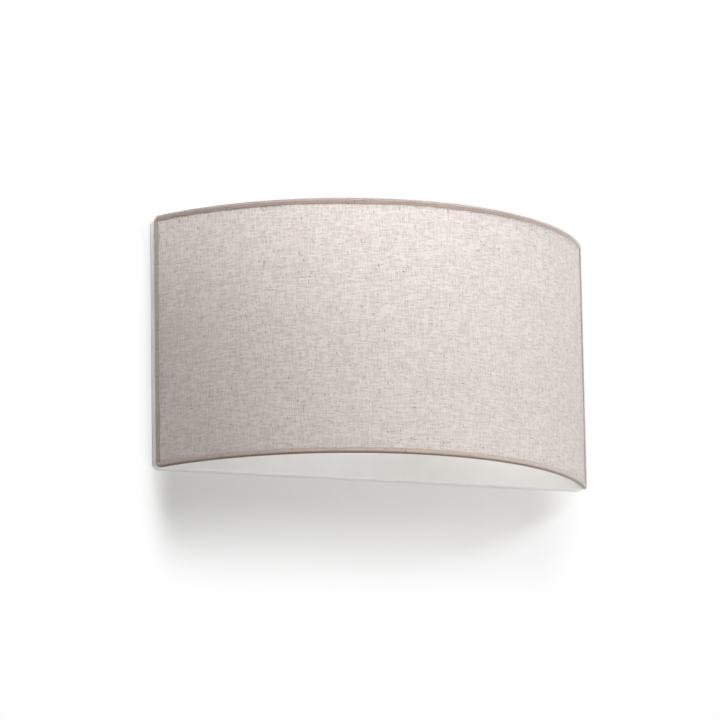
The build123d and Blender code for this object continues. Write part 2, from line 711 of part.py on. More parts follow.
for side, word in ((-1, "left"), (1, "right")):
    with BuildPart() as upright:
        with BuildSketch(upright_plane(side)):
            Circle(wire_radius)
        extrude(amount=shade_height - 2 * corner_radius)
    save(upright, f"{word}_upright")

    with BuildPart() as lug:
        with BuildSketch(out_plane(lug_back)):
            with Locations((side * (thumb_x + lug_reach / 2), 0)):
                Rectangle(lug_reach - 2 * weld_gap, lug_width)
            with Locations((side * thumb_x, 0)):
                Circle(lug_width / 2)
                Circle(lug_hole_radius, mode=Mode.SUBTRACT)
        extrude(amount=lug_thickness)
        with BuildSketch(Plane.XY.offset(-lug_width / 2)):
            with Locations((side * upright_x, -upright_out)):
                Circle(wire_radius + weld_gap)
        extrude(amount=lug_width, mode=Mode.SUBTRACT)
    save(lug, f"{word}_lug")

    with BuildPart() as thumb_screw:
        thread_front = lug_back - thumb_play
        head_seat = lug_front + thumb_play
        with BuildSketch(out_plane(thread_front - thumb_thread_length)):
            with Locations((side * thumb_x, 0)):
                Circle(thumb_thread_radius)
        extrude(amount=thumb_thread_length)
        chamfer(thumb_screw.faces().sort_by(Axis.Y)[-1].edges(), thread_chamfer)
        with BuildSketch(out_plane(thread_front)):
            with Locations((side * thumb_x, 0)):
                Circle(thumb_neck_radius)
        extrude(amount=head_seat - thread_front)
        with BuildSketch(out_plane(head_seat)):
            with Locations((side * thumb_x, 0)):
                Circle(thumb_head_radius)
        extrude(amount=thumb_head_height)
        chamfer(thumb_screw.faces().sort_by(Axis.Y)[0].edges(), thumb_chamfer)
        with BuildSketch(out_plane(head_seat)):
            with Locations((side * thumb_x, 0)), PolarLocations(thumb_head_radius, knurl_count):
                Circle(knurl_radius)
        extrude(amount=thumb_head_height, mode=Mode.SUBTRACT)
    save(thumb_screw, f"{word}_thumb_screw")

# ---------------------------------------------------------------- shade
for name, outer, thickness in (("shade_textile", arc_radius + textile_thickness,
                                textile_thickness),
                               ("shade_lining", arc_radius - layer_gap, lining_thickness)):
    sweep_angle = 2 * degrees(panel_angle)
    start_angle = 270 - degrees(panel_angle)
    with BuildPart() as panel:
        with BuildSketch(Plane.XY.offset(panel_inset - half_height)):
            with BuildLine():
                outside = CenterArc((0, drum_y), outer, start_angle, sweep_angle)
                inside = CenterArc((0, drum_y), outer - thickness, start_angle, sweep_angle)
                Line(outside @ 0, inside @ 0)
                Line(outside @ 1, inside @ 1)
            make_face()
        extrude(amount=shade_height - 2 * panel_inset)
        fillet(panel.edges().sort_by(SortBy.LENGTH)[0:4], corner_radius - panel_inset)
    save(panel, name)

for level, name in ((1, "top_hem"), (-1, "bottom_hem")):
    with BuildPart() as hem:
        with BuildSketch(end_plane(-1, level)):
            hem_profile()
        revolve(axis=drum_axis, revolution_arc=2 * degrees(half_angle))
        for side in (-1, 1):
            with BuildSketch(end_plane(side, level)):
                hem_profile()
            revolve(axis=corner_axis(side, level), revolution_arc=90)
    save(hem, name)

for side, word in ((-1, "left"), (1, "right")):
    with BuildPart() as hem:
        with BuildSketch(upright_plane(side)):
            hem_profile()
        extrude(amount=shade_height - 2 * corner_radius)
        slit = upright_plane(side).offset(half_height - corner_radius - lug_width / 2 - slit_gap)
        with BuildSketch(slit):
            with Locations((-side * fold_radius, 0)):
                Rectangle(2 * fold_radius, 4 * fold_radius)
        extrude(amount=lug_width + 2 * slit_gap, mode=Mode.SUBTRACT)
    save(hem, f"{word}_hem")
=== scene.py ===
import json
import math

import bpy
from mathutils import Matrix, Vector, noise


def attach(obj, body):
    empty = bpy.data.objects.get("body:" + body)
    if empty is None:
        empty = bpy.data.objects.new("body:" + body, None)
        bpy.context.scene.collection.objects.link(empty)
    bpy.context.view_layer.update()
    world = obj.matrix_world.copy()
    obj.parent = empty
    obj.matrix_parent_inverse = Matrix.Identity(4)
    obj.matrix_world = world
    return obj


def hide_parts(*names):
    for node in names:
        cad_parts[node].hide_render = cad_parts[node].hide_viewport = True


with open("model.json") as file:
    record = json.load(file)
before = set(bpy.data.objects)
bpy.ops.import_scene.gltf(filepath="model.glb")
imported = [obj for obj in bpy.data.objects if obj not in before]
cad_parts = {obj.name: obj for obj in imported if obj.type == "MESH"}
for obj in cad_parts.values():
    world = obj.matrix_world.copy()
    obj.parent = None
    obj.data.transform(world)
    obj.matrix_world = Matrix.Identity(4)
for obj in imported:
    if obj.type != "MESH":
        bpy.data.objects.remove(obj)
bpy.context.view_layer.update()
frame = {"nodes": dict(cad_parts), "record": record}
nodes = frame["nodes"]
MM = 0.001

# ------------------------------------------------------------------ sizes of the solids, in mm
WIDTH, HEIGHT = 350.0, 195.0
DRUM_RADIUS, CORNER_RADIUS = 200.0, 5.0
HEM_WIDTH, HEM_THICKNESS = 4.3, 0.6
WIRE_RADIUS, WIRE_CLEARANCE = 0.85, 0.15
TEXTILE, LINING, LAYER_GAP = 0.8, 0.6, 0.1
PLATE_FRONT, SEAT_GAP = 8.0, 0.3            # of the wall plate, and from it to the shade
LUG_WIDTH, SLIT_GAP = 14.0, 0.4
HOLDER_X = -82.5                            # the holder's rear end
EARTH_LEAD_Z = 58.0

# Worked out as in the part's source. The hem's cloth lies round the wire between two radii,
# FOLD_CORE and FOLD_RADIUS.
FOLD_CORE = max(WIRE_RADIUS, TEXTILE, LAYER_GAP + LINING) + WIRE_CLEARANCE
FOLD_RADIUS = FOLD_CORE + HEM_THICKNESS
BEND_RADIUS = CORNER_RADIUS - FOLD_RADIUS
ARC_RADIUS = DRUM_RADIUS - FOLD_RADIUS
UPRIGHT_OUT = PLATE_FRONT + SEAT_GAP + FOLD_RADIUS
HALF_HEIGHT = HEIGHT / 2
HALF_ANGLE = (math.asin((WIDTH / 2 - FOLD_RADIUS) / math.hypot(ARC_RADIUS, BEND_RADIUS))
              - math.atan(BEND_RADIUS / ARC_RADIUS))
DRUM_Y = (-UPRIGHT_OUT + ARC_RADIUS * math.cos(HALF_ANGLE)
          - BEND_RADIUS * math.sin(HALF_ANGLE))
LAMP_OUT = (PLATE_FRONT + DRUM_RADIUS - DRUM_Y - 2 * FOLD_RADIUS) / 2
PANEL_INSET = CORNER_RADIUS - BEND_RADIUS + WIRE_RADIUS + LAYER_GAP
LUG_SLIT = LUG_WIDTH / 2 + SLIT_GAP         # half the height of the slit round a lug

# Where the cloth's own coordinates put the panel's middle and the start of the hems, in
# millimetres, so that none is below zero.
PANEL_CLOTH = (300.0, 200.0)
HEM_CLOTH = (40.0, 700.0)


# ------------------------------------------------------------------ material tools
MIX_FIRST, MIX_SECOND, MIX_RESULT = 6, 7, 2     # the colour sockets of a Mix node
NOISE_RANGE = (0.3, 0.7)                        # where most of a noise's values lie
FINE = (3.0, 0.55)                              # detail and roughness of the finest grain


class Graph:
    """A material's node tree, with short calls for the nodes used here."""

    def __init__(self, name):
        self.material = bpy.data.materials.new(name)
        self.material.use_nodes = True
        self.tree = self.material.node_tree
        self.tree.nodes.clear()

    def link(self, value, socket):
        if isinstance(value, bpy.types.NodeSocket):
            self.tree.links.new(value, socket)
        elif value is not None:
            socket.default_value = value

    def node(self, kind, inputs=None, **settings):
        made = self.tree.nodes.new("ShaderNode" + kind)
        for key, value in settings.items():
            setattr(made, key, value)
        for key, value in (inputs or {}).items():
            self.link(value, made.inputs[key])
        return made

    def position(self):
        """The place on the piece, in metres."""
        return self.node("TexCoord").outputs["Object"]

    def cloth(self):
        """The place on the flat cloth, in millimetres."""
        return self.node("UVMap", uv_map="cloth").outputs[0]

    def math(self, operation, *values, clamp=False):
        made = self.node("Math", operation=operation, use_clamp=clamp)
        for place, value in enumerate(values):
            self.link(value, made.inputs[place])
        return made.outputs[0]

    def plus(self, first, second):
        return self.math("ADD", first, second)

    def times(self, first, second):
        return self.math("MULTIPLY", first, second)

    def mix(self, factor, first, second, blend="MIX"):
        made = self.node("Mix", data_type="RGBA", blend_type=blend)
        self.link(factor, made.inputs[0])
        self.link(first, made.inputs[MIX_FIRST])
        self.link(second, made.inputs[MIX_SECOND])
        return made.outputs[MIX_RESULT]

    def grade(self, value, low, high, to_low=0.0, to_high=1.0, smooth=True):
        made = self.node("MapRange", {0: value, 1: low, 2: high, 3: to_low, 4: to_high},
                         interpolation_type="SMOOTHSTEP" if smooth else "LINEAR")
        return made.outputs[0]

    def level(self, value, to_low=0.0, to_high=1.0):
        """A noise spread over the given range."""
        return self.grade(value, *NOISE_RANGE, to_low, to_high)

    def noise(self, place, scale, detail=2.0, rough=0.5):
        made = self.node("TexNoise", {"Vector": place, "Scale": scale, "Detail": detail,
                                      "Roughness": rough})
        return made.outputs[0]

    def vector(self, x, y, z=0.0):
        return self.node("CombineXYZ", {0: x, 1: y, 2: z}).outputs[0]

    def split(self, place):
        return self.node("SeparateXYZ", {0: place}).outputs

    def bump(self, height, distance, strength=1.0):
        inputs = {"Height": height, "Distance": distance, "Strength": strength}
        return self.node("Bump", inputs).outputs[0]

    def surface(self, through=0.0, through_tint=None, **inputs):
        """The material; through is the share of light that a thin sheet lets through."""
        shader = self.node("BsdfPrincipled")
        for key, value in inputs.items():
            self.link(value, shader.inputs[key.replace("_", " ")])
        if through:
            behind = self.node("BsdfTranslucent", {"Color": through_tint,
                                                   "Normal": inputs["Normal"]})
            shader = self.node("MixShader", {0: through, 1: shader.outputs[0],
                                             2: behind.outputs[0]})
        self.node("OutputMaterial", {0: shader.outputs[0]})
        return self.material


def colour(red, green, blue):
    return (red, green, blue, 1.0)


def shaded(tint, share):
    return colour(*[channel * share for channel in tint])


# ------------------------------------------------------------------ hard materials
MOTTLE = 25.0                       # how much wider than the grain the mottling is
GLOSS_SPREAD = 0.07
THREAD_DEPTH = 0.3                  # mm
THREAD_GRAIN = 1500.0               # a metre
GROOVE_MIX, GROOVE_SHADE = 0.45, 0.45       # how much painted shade a thread's groove has, and how dark it is


def speckled(name, tint, rough, grain, spread, relief, **more):
    """A moulded, painted or plated surface: uneven gloss, faint mottling and a fine relief.

    grain is a noise scale a metre, spread a share of the tint, relief a depth in millimetres."""
    g = Graph(name)
    place = g.position()
    fine = g.noise(place, grain, *FINE)
    wide = g.noise(place, grain / MOTTLE, 2.0, 0.6)
    low = colour(*[max(0.0, channel * (1 - spread)) for channel in tint])
    high = colour(*[min(1.0, channel * (1 + spread)) for channel in tint])
    gloss = g.plus(g.times(fine, 0.6), g.times(wide, 0.4))
    return g.surface(
        Base_Color=g.mix(g.level(wide), low, high),
        Roughness=g.level(gloss, max(0.03, rough - GLOSS_SPREAD), rough + GLOSS_SPREAD),
        Normal=g.bump(fine, relief * MM), **more)


def threaded(name, tint, rough, pitch, axis, low, high):
    """Plated metal with a screw thread, and painted shade in its grooves, between two places along
    an axis, in millimetres.
    """
    g = Graph(name)
    place = g.position()
    along = g.split(place)[axis]
    turn = g.math("SINE", g.times(along, 2 * math.pi / (pitch * MM)))
    inside = g.times(g.math("GREATER_THAN", along, low * MM),
                     g.math("LESS_THAN", along, high * MM))
    fine = g.noise(place, THREAD_GRAIN, *FINE)
    height = g.plus(g.times(turn, inside), g.times(fine, 0.06))
    # painted shade: the colour darkens towards the bottom of each groove
    groove = g.times(inside, g.grade(turn, -1.0, 0.2, GROOVE_MIX, 0.0))
    return g.surface(
        Base_Color=g.mix(groove, colour(*tint), shaded(tint, GROOVE_SHADE)),
        Roughness=g.level(fine, rough - 0.06, rough + 0.08),
        Metallic=1.0, Normal=g.bump(height, THREAD_DEPTH * MM, 0.7))


def earth_stripes():
    """Green and yellow insulation: two colours side by side along the lead."""
    green, yellow, edge = colour(0.02, 0.22, 0.03), colour(0.62, 0.52, 0.02), 0.3 * MM
    g = Graph("green_yellow_pvc")
    place = g.position()
    side = g.math("SUBTRACT", g.split(place)[2], EARTH_LEAD_Z * MM)
    fine = g.noise(place, 1500.0, *FINE)
    return g.surface(Base_Color=g.mix(g.grade(side, -edge, edge), yellow, green),
                     Roughness=g.level(fine, 0.32, 0.46), Normal=g.bump(fine, 0.01 * MM))


def ribbed_plastic():
    """The lampholder's skirt, with fine grip ribs along it."""
    rib_count, rib_depth = 60.0, 0.4 * MM
    start, end, fade = (HOLDER_X + 28) * MM, (HOLDER_X + 50) * MM, 1.0 * MM
    least_radius = 17.1 * MM        # the ribs are on the outside only
    g = Graph("ribbed_plastic")
    place = g.position()
    x, y, z = g.split(place)
    out = g.plus(y, LAMP_OUT * MM)
    ribs = g.grade(g.math("SINE", g.times(g.math("ARCTAN2", z, out), rib_count)), -0.6, 0.6)
    radius = g.math("SQRT", g.plus(g.math("POWER", z, 2.0), g.math("POWER", out, 2.0)))
    zone = g.times(g.times(g.grade(x, start, start + fade), g.grade(x, end, end - fade)),
                   g.math("GREATER_THAN", radius, least_radius))
    fine = g.noise(place, 1700.0, *FINE)
    height = g.plus(g.times(ribs, zone), g.times(fine, 0.03))
    return g.surface(
        Base_Color=g.mix(g.level(g.noise(place, 60.0)), colour(0.81, 0.81, 0.78),
                         colour(0.84, 0.84, 0.81)),
        Roughness=g.level(fine, 0.4, 0.52), Normal=g.bump(height, rib_depth, 0.8))


# ------------------------------------------------------------------ linen and its lining
# Lengths are in millimetres of cloth, and a noise scale is for one millimetre.
YARN_PITCH = 0.8
WANDER_SCALE, WANDER = 0.03, 1.6            # slow drift of all yarns, in yarns
CROWD_ACROSS, CROWD_ALONG = 0.37, 0.025     # scales of the uneven spacing of the yarns
SWELL_LENGTH = 9.0                          # of a thick or a thin stretch of yarn
LANE_STEP = 3.37                            # sets each yarn's noise apart from the next one's
WARP_SEED, WEFT_SEED = 1.3, 7.9
YARN_RANGE = (0.28, 0.72)                   # noise of the thinnest and the thickest yarn
THIN_YARN, THICK_YARN = 0.30, 0.56          # half widths, in pitches
UNDER = 0.55                                # height of a yarn that passes under another
WARP_SHARE, WEFT_SHARE = 0.45, 0.55         # in the cloth's thickness
SLUB_THIN, SLUB_UP, SLUB_ACROSS = 0.95, 4.5, 5.2    # width, and lengths in the two directions
SLUB_EDGE = 0.08                            # from no slub to a full one, in noise
CLOUD_SCALE, FIBRE_SCALE, HUE_SCALE = 0.035, 1.6, 0.21
PINK, GREEN = colour(1.010, 0.995, 1.006), colour(0.990, 1.004, 0.991)
THICKER = (0.15, 0.85)                      # thicknesses between which the cloth turns dark
GLOW_THIN, GLOW_THICK = colour(0.93, 0.87, 0.82), colour(0.37, 0.30, 0.25)
WEAVE_DEPTH = 0.16
FOLD_START, FOLD_END, FOLD_EDGE = 2.9, 7.6, 1.2     # where painted shade darkens the roll as it turns over, and its soft edge
# how dark the painted shade on the turning roll is, as a share of the slub's colour
FOLD_SHADE = 0.8
FILM_RIBS = 0.72                            # pitch of the weave pressed through the lining
FILM_DEPTH = 0.04


def linen(name, thread, gap, slub, cover, sheen, through=0.0, folded=False):
    """Plain weave in unevenly spun yarn, laid out in the cloth's own millimetres by its UVs.

    cover is how far the yarns close the gaps. A folded cloth gets painted shade, darker where
    the roll turns over."""
    g = Graph(name)
    place = g.cloth()
    along = g.split(place)
    drift = g.times(g.math("SUBTRACT", g.noise(place, WANDER_SCALE, 1.0, 0.5), 0.5), WANDER)

    def yarn(across, lengthways, seed):
        """(height 0-1 across one set of yarns, its thickness, its number)

        Each yarn swells and thins along its length, and the yarns lie a little unevenly."""
        crowd = g.noise(g.vector(g.times(across, CROWD_ACROSS), g.times(lengthways, CROWD_ALONG),
                                 seed), 1.0, 2.0, 0.6)
        place_in = g.plus(g.math("DIVIDE", across, YARN_PITCH), g.plus(drift, crowd))
        number = g.math("FLOOR", place_in)
        part = g.math("SUBTRACT", g.math("FRACT", place_in), 0.5)
        lane = g.vector(g.times(number, LANE_STEP), g.math("DIVIDE", lengthways, SWELL_LENGTH),
                        seed)
        thick = g.grade(g.noise(lane, 1.0, 3.0, 0.6), *YARN_RANGE)
        half = g.grade(thick, 0.0, 1.0, THIN_YARN, THICK_YARN, smooth=False)
        round_top = g.math("SUBTRACT", 1.0, g.math("POWER", g.math("DIVIDE", part, half), 2.0))
        return g.math("MAXIMUM", round_top, 0.0), thick, number

    def slubs(width, height, seed, threshold):
        """Sparse short dark marks: noise stretched to their size, and only its peaks."""
        spot = g.vector(g.math("DIVIDE", along[0], width), g.math("DIVIDE", along[1], height),
                        seed)
        return g.grade(g.noise(spot, 1.0, 2.0, 0.45), threshold, threshold + SLUB_EDGE)

    warp, warp_thick, warp_number = yarn(along[0], along[1], WARP_SEED)
    weft, weft_thick, weft_number = yarn(along[1], along[0], WEFT_SEED)
    odd = g.math("FRACT", g.times(g.plus(warp_number, weft_number), 0.5))
    warp_over = g.math("GREATER_THAN", odd, 0.25)
    weft_over = g.math("SUBTRACT", 1.0, warp_over)
    warp_top = g.times(warp, g.grade(warp_over, 0.0, 1.0, UNDER, 1.0, smooth=False))
    weft_top = g.times(weft, g.grade(weft_over, 0.0, 1.0, UNDER, 1.0, smooth=False))
    height = g.math("MAXIMUM", warp_top, weft_top)
    thick = g.plus(g.times(warp_thick, WARP_SHARE), g.times(weft_thick, WEFT_SHARE))
    dashes = g.math("MAXIMUM", slubs(SLUB_THIN, SLUB_UP, 4.4, 0.66),
                    slubs(SLUB_ACROSS, SLUB_THIN, 9.1, 0.655))
    cloud = g.noise(place, CLOUD_SCALE, 3.0, 0.6)
    fibre = g.noise(place, FIBRE_SCALE, 2.0, 0.6)

    body = g.mix(g.grade(height, 0.15, 0.9 - 0.4 * cover), colour(*gap), colour(*thread))
    body = g.mix(g.grade(thick, *THICKER, 0.0, 0.15), body, colour(*slub))
    body = g.mix(g.times(dashes, 0.85), body, shaded(slub, 0.75))
    hue = g.mix(g.grade(g.noise(place, HUE_SCALE, 2.0, 0.6), 0.35, 0.65), PINK, GREEN)
    body = g.mix(1.0, body, hue, blend="MULTIPLY")
    tone = g.plus(g.grade(cloud, 0.25, 0.75, 0.985, 1.015), g.grade(fibre, 0.2, 0.8, -0.10, 0.10))
    body = g.mix(1.0, body, g.vector(tone, tone, tone), blend="MULTIPLY")
    if folded:
        # painted shade: the roll is darker where it turns over, between two places round the hem
        start, end = HEM_CLOTH[1] + FOLD_START, HEM_CLOTH[1] + FOLD_END
        painted_fold_shade = g.times(g.grade(along[1], start, start + FOLD_EDGE),
                         g.grade(along[1], end - FOLD_EDGE, end, 1.0, 0.0))
        body = g.mix(painted_fold_shade, body, shaded(slub, FOLD_SHADE))
    relief = g.plus(g.times(height, 0.75), g.plus(g.times(dashes, 0.35), g.times(fibre, 0.2)))

    # what lets the least light through: thick yarns and slubs
    dense = g.plus(g.times(g.grade(thick, *THICKER), 0.8), g.times(dashes, 0.6))
    dense = g.math("ADD", dense, g.level(fibre, -0.3, 0.3), clamp=True)
    glow = g.mix(dense, GLOW_THIN, GLOW_THICK)
    return g.surface(through, glow, Base_Color=body,
                     Roughness=g.grade(height, 0.0, 1.0, 0.95, 0.82),
                     Specular_IOR_Level=0.25, Sheen_Weight=sheen, Sheen_Roughness=0.5,
                     Normal=g.bump(relief, WEAVE_DEPTH * MM, 0.75))


def lining_film():
    """White satin film with the weave of the linen faintly pressed through it."""
    g = Graph("white_lining")
    place = g.cloth()
    along = g.split(place)
    ribs = g.plus(*[g.math("SINE", g.times(way, 2 * math.pi / FILM_RIBS)) for way in along[:2]])
    wide = g.noise(place, 0.04, 3.0, 0.6)
    fine = g.noise(place, 2.4, 3.0, 0.6)
    height = g.plus(g.times(ribs, 0.18), fine)
    body = g.mix(g.level(wide), colour(0.93, 0.925, 0.905), colour(0.96, 0.955, 0.94))
    return g.surface(0.40, body, Base_Color=body, Roughness=g.level(fine, 0.38, 0.52),
                     Normal=g.bump(height, FILM_DEPTH * MM))


# ------------------------------------------------------------------ materials by finish slot
ZINC, NICKEL, BRASS = (0.60, 0.62, 0.64), (0.72, 0.69, 0.64), (0.80, 0.58, 0.28)
METAL = {"Metallic": 1.0}
GLAZE = {"Coat_Weight": 0.4, "Coat_Roughness": 0.06}

# slot: tint, roughness, grain (a metre), spread of the tint, relief (mm), what else it has
surfaces = {
    "white_paint": ((0.87, 0.87, 0.86), 0.42, 1100.0, 0.012, 0.012, {}),
    "white_rubber": ((0.72, 0.72, 0.71), 0.66, 1400.0, 0.03, 0.02, {}),
    "zinc": (ZINC, 0.34, 1800.0, 0.10, 0.01, METAL),
    "nickel": (NICKEL, 0.22, 2200.0, 0.05, 0.006, METAL),
    "tinned": ((0.68, 0.68, 0.67), 0.40, 1500.0, 0.08, 0.01, METAL),
    "brass": (BRASS, 0.28, 1600.0, 0.08, 0.01, METAL),
    "holder_plastic": ((0.82, 0.82, 0.79), 0.46, 1700.0, 0.015, 0.01, {}),
    "ceramic": ((0.83, 0.81, 0.76), 0.14, 700.0, 0.03, 0.02, GLAZE),
    "nylon": ((0.78, 0.78, 0.73), 0.42, 1500.0, 0.02, 0.01, {"Subsurface_Weight": 0.12}),
    "brown_pvc": ((0.10, 0.035, 0.015), 0.38, 1500.0, 0.1, 0.02, {}),
    "blue_pvc": ((0.02, 0.10, 0.42), 0.38, 1500.0, 0.1, 0.02, {}),
    "black_glass": ((0.012, 0.012, 0.013), 0.10, 900.0, 0.2, 0.02, {}),
    "lamp_plastic": ((0.86, 0.86, 0.85), 0.30, 1300.0, 0.01, 0.008, {}),
    "opal": ((0.90, 0.90, 0.88), 0.36, 1600.0, 0.01, 0.006, {"Subsurface_Weight": 0.25}),
}
finishes = {slot: speckled(slot, *values, **more)
            for slot, (*values, more) in surfaces.items()}
finishes["green_yellow_pvc"] = earth_stripes()
finishes["white_lining"] = lining_film()
finishes["linen"] = linen("linen", (0.85, 0.78, 0.755), (0.89, 0.855, 0.84),
                          (0.51, 0.39, 0.32), cover=0.5, sheen=0.35, through=0.38)
finishes["hem_linen"] = linen("hem_linen", (0.48, 0.38, 0.33), (0.40, 0.305, 0.255),
                              (0.215, 0.15, 0.115), cover=0.9, sheen=0.9, folded=True)

# Threads: pitch, axis, and the two places along it that they lie between. A place that is
# well past the piece's end leaves that end threaded.
FINE_PITCH, NIPPLE_PITCH, PAST = 0.7, 1.0, 1000.0
small_thread = threaded("small_thread", ZINC, 0.32, FINE_PITCH, 1, -8.3, 10.0)
thumb_thread = threaded("thumb_thread", NICKEL, 0.22, FINE_PITCH, 1, -8.2, 0.0)
own_material = {
    "holder_skirt": ribbed_plastic(),
    "threaded_nipple": threaded("nipple_thread", ZINC, 0.32, NIPPLE_PITCH, 0, -PAST, PAST),
    "left_thumb_screw": thumb_thread,
    "right_thumb_screw": thumb_thread,
    "bracket_screws": small_thread,
    "earth_screw": threaded("earth_thread", BRASS, 0.28, FINE_PITCH, 1, -8.8, 10.0),
}

for subpart in frame["record"]["subparts"]:
    shown = nodes[subpart["node"]]
    finish = own_material.get(subpart["node"], finishes[subpart["material_slot"]])
    shown.data.materials.clear()
    shown.data.materials.append(finish)


# ------------------------------------------------------------------ mesh tools
def mesh_piece(name, points, faces, uvs, material):
    """A mesh from points in millimetres, faces and one UV pair a point, in millimetres too."""
    mesh = bpy.data.meshes.new(name)
    mesh.from_pydata([tuple(c * MM for c in p) for p in points], [], faces)
    layer = mesh.uv_layers.new(name="cloth")
    for loop in mesh.loops:
        layer.data[loop.index].uv = uvs[loop.vertex_index]
    mesh.polygons.foreach_set("use_smooth", [True] * len(mesh.polygons))
    mesh.materials.append(material)
    mesh.validate()
    mesh.update()
    made_object = bpy.data.objects.new(name, mesh)
    bpy.context.scene.collection.objects.link(made_object)
    return made_object


def wave(place, size, amount, seed):
    """A smooth, repeatable unevenness of the given size and amount, in millimetres."""
    return amount * noise.noise(Vector((place[0] / size + seed, place[1] / size - seed,
                                        place[2] / size + 2 * seed)))


def arc_points(radius, angles):
    """Points of a circle about the origin at the given angles, in degrees."""
    return [(radius * math.cos(math.radians(a)), radius * math.sin(math.radians(a)))
            for a in angles]


# ------------------------------------------------------------------ panel and lining
PANEL_COLUMNS, PANEL_ROWS, CORNER_DEGREES = 240, 96, 15
LINEN_UNEVEN, FILM_UNEVEN = 0.12, 0.05
LINEN_SEAT, FILM_SEAT = -0.05, 0.03         # sets the sheets a little into the solids they replace


def panel(name, radius, material, uneven):
    """One layer of the shade: a slice of a drum of this radius, with rounded corners."""
    reach = HALF_ANGLE + math.atan((CORNER_RADIUS - PANEL_INSET) / ARC_RADIUS)
    half, turn = HALF_HEIGHT - PANEL_INSET, CORNER_RADIUS - PANEL_INSET
    ends = [turn * (1 - math.cos(math.radians(a))) / ARC_RADIUS
            for a in range(0, 91, CORNER_DEGREES)]
    middle = [ends[-1] + (2 * reach - 2 * ends[-1]) * n / PANEL_COLUMNS
              for n in range(1, PANEL_COLUMNS)]
    angles = ends + middle + [2 * reach - e for e in reversed(ends)]
    points, uvs, faces = [], [], []
    for angle in angles:
        inset = max(0.0, turn - min(angle, 2 * reach - angle) * ARC_RADIUS)
        limit = half - turn + math.sqrt(max(0.0, turn ** 2 - inset ** 2))
        phi = angle - reach
        for row in range(PANEL_ROWS + 1):
            z = limit * (2 * row / PANEL_ROWS - 1)
            flat = (phi * ARC_RADIUS, 0.0, z)
            r = radius + wave(flat, 60.0, uneven, 3.1) + wave(flat, 14.0, uneven / 4, 8.7)
            points.append((r * math.sin(phi), DRUM_Y - r * math.cos(phi), z))
            uvs.append((phi * ARC_RADIUS + PANEL_CLOTH[0], z + PANEL_CLOTH[1]))
    for column in range(len(angles) - 1):
        for row in range(PANEL_ROWS):
            a = column * (PANEL_ROWS + 1) + row
            faces.append((a, a + PANEL_ROWS + 1, a + PANEL_ROWS + 2, a + 1))
    piece = mesh_piece(name, points, faces, uvs, material)
    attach(piece, "shade")
    return piece


textile = panel("linen_panel", ARC_RADIUS + TEXTILE + LINEN_SEAT, finishes["linen"],
                LINEN_UNEVEN)
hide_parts("shade_textile")
film = panel("lining_film", ARC_RADIUS - LAYER_GAP - LINING + FILM_SEAT,
             finishes["white_lining"], FILM_UNEVEN)
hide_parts("shade_lining")


# ------------------------------------------------------------------ rolled hems
CORNER_STEPS, ARC_STEPS, END_STEPS = 16, 320, 150
SLIT_CLEAR = 0.7                            # least distance from a station to a slit's edge
ROLL_DEGREES, CORE_DEGREES = 10, 18
BULGE_FROM = -0.5                           # the roll swells beyond this place, and not the lips
LIP_BLEND = 2.0                             # from the roll to the full waviness of a lip
CREASE, CREASE_TURN = 0.10, 4.6             # puckers at a corner: depth, and radians a millimetre


def loop_stations():
    """Stations round the whole hem: (distance, place, outward, to the free edge, corner turn).

    They start at the top of the left end, and go over the top, down the right end, back along
    the bottom and up the left end. The cuts part the hems, which are the top and the bottom
    one with two corners each, and the straight ones at the ends."""
    stations, cuts, distance = [], [0], 0.0

    def outward(side):
        return Vector((side * math.sin(HALF_ANGLE), -math.cos(HALF_ANGLE), 0))

    def sideways(side):
        return Vector((side * math.cos(HALF_ANGLE), math.sin(HALF_ANGLE), 0))

    def add(place, normal, edge, turn):
        nonlocal distance
        if stations:
            distance += (place - stations[-1][1]).length
        stations.append((distance, place, normal, edge, turn))

    def corner(side, level, inwards):
        up = Vector((0, 0, level))
        centre = (Vector((0, DRUM_Y, level * (HALF_HEIGHT - CORNER_RADIUS)))
                  + outward(side) * ARC_RADIUS)
        for n in range(1 if stations else 0, CORNER_STEPS + 1):
            turn = 1 - n / CORNER_STEPS if inwards else n / CORNER_STEPS
            a = turn * math.pi / 2
            edge = up * math.cos(a) + sideways(side) * math.sin(a)
            add(centre + edge * BEND_RADIUS, outward(side), edge, min(turn, 1 - turn) * 2)

    def arc(level, start):
        for n in range(1, ARC_STEPS + 1):
            phi = start * HALF_ANGLE * (1 - 2 * n / ARC_STEPS)
            normal = Vector((math.sin(phi), -math.cos(phi), 0))
            add(Vector((0, DRUM_Y, level * (HALF_HEIGHT - FOLD_RADIUS))) + normal * ARC_RADIUS,
                normal, Vector((0, 0, level)), 0.0)

    def end(side, start):
        foot = (Vector((0, DRUM_Y, 0)) + outward(side) * ARC_RADIUS
                + sideways(side) * BEND_RADIUS)
        reach = HALF_HEIGHT - CORNER_RADIUS
        heights = [reach * (1 - 2 * n / END_STEPS) for n in range(1, END_STEPS + 1)]
        heights = [h for h in heights if abs(abs(h) - LUG_SLIT) > SLIT_CLEAR]
        for height in sorted(heights + [LUG_SLIT, -LUG_SLIT], reverse=True):
            add(Vector((foot.x, foot.y, start * height)), outward(side), sideways(side), 0.0)

    corner(-1, 1, True)
    arc(1, -1)
    corner(1, 1, False)
    cuts.append(len(stations) - 1)
    end(1, 1)
    cuts.append(len(stations) - 1)
    corner(1, -1, True)
    arc(-1, 1)
    corner(-1, -1, False)
    cuts.append(len(stations) - 1)
    end(-1, -1)
    cuts.append(len(stations) - 1)
    return stations, cuts


